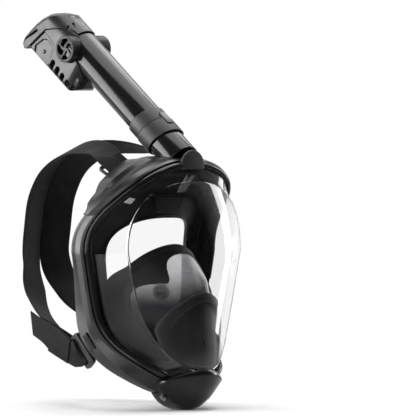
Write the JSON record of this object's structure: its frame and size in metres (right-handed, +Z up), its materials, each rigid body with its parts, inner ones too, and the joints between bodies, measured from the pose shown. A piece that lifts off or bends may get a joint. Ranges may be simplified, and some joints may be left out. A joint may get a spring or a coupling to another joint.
{
  "type": "full face snorkel mask",
  "caption": "Full face snorkelling mask with a wide clear lens, nose and mouth pocket, elastic head harness and a pull-off breathing tube with a float-valve dry top.",
  "frame": {"origin": "middle of the face opening, on the plane of symmetry", "axes": "+Z up, +Y from the lens to the wearer's head, +X to the wearer's left"},
  "size_m": [0.19, 0.2688, 0.4123],
  "materials": {
    "gloss_black": "gloss",
    "matt_grey": "satin moulded",
    "silicone_black": "matt silicone",
    "elastic_black": "woven elastic",
    "clear_plastic": "clear polished",
    "clear_silicone": "clear silicone",
    "screw_steel": "plain"
  },
  "bodies": {
    "mask": {"air_guide": "clear_plastic", "brow_cover": "matt_grey", "chin_block": "gloss_black", "chin_screw_left": "screw_steel", "chin_screw_right": "screw_steel", "face_skirt": "silicone_black", "front_frame": "gloss_black", "head_strap_left": "elastic_black", "head_strap_right": "elastic_black", "inhale_seat_left": "matt_grey", "inhale_seat_right": "matt_grey", "lens": "clear_plastic", "lower_clip_left": "matt_grey", "lower_clip_right": "matt_grey", "lower_collar": "matt_grey", "mouth_cover": "gloss_black", "nose_pocket": "clear_silicone", "nose_seal": "silicone_black", "purge_grille": "matt_grey", "purge_seat": "matt_grey", "side_frame": "matt_grey", "snorkel_socket": "gloss_black", "strap_tail_left": "elastic_black", "strap_tail_right": "elastic_black", "upper_loop_left": "matt_grey", "upper_loop_right": "matt_grey"},
    "snorkel": {"dry_top_cage": "matt_grey", "dry_top_hood": "matt_grey", "float_housing_left": "matt_grey", "float_housing_right": "matt_grey", "snorkel_tube": "gloss_black", "tube_seal": "silicone_black", "upper_collar": "matt_grey"},
    "latch": {"release_latch": "matt_grey"},
    "float_right": {"float_right": "gloss_black"},
    "float_left": {"float_left": "gloss_black"},
    "purge": {"purge_flap": "silicone_black"},
    "inhale_right": {"inhale_flap_right": "silicone_black"},
    "inhale_left": {"inhale_flap_left": "silicone_black"},
    "button_right": {"clip_button_right": "matt_grey"},
    "button_left": {"clip_button_left": "matt_grey"}
  },
  "joints": [
    {"name": "snorkel_pull", "type": "slide", "parent": "mask", "child": "snorkel", "axis": [0, 0.7971, 0.6039], "range_m": [0, 0.03]},
    {"name": "latch_press", "type": "slide", "parent": "mask", "child": "latch", "axis": [0, 0.6039, -0.7971], "range_m": [0, 0.0008], "stiffness_N_per_m": 600},
    {"name": "float_rise_right", "type": "slide", "parent": "snorkel", "child": "float_right", "axis": [0, 0.7971, 0.6039], "range_m": [0, 0.0118]},
    {"name": "float_rise_left", "type": "slide", "parent": "snorkel", "child": "float_left", "axis": [0, 0.7971, 0.6039], "range_m": [0, 0.0118]},
    {"name": "purge_open", "type": "slide", "parent": "mask", "child": "purge", "axis": [0, 0, -1], "range_m": [0, 0.003], "stiffness_N_per_m": 120},
    {"name": "inhale_open_right", "type": "slide", "parent": "mask", "child": "inhale_right", "axis": [0.7949, 0.5373, -0.282], "range_m": [0, 0.002], "stiffness_N_per_m": 80},
    {"name": "inhale_open_left", "type": "slide", "parent": "mask", "child": "inhale_left", "axis": [-0.7949, 0.5373, -0.282], "range_m": [0, 0.002], "stiffness_N_per_m": 80},
    {"name": "button_press_right", "type": "slide", "parent": "mask", "child": "button_right", "axis": [0.9625, -0.0899, 0.256], "range_m": [0, 0.0015], "stiffness_N_per_m": 500},
    {"name": "button_press_left", "type": "slide", "parent": "mask", "child": "button_left", "axis": [-0.9625, -0.0899, 0.256], "range_m": [0, 0.0015], "stiffness_N_per_m": 500}
  ]
}
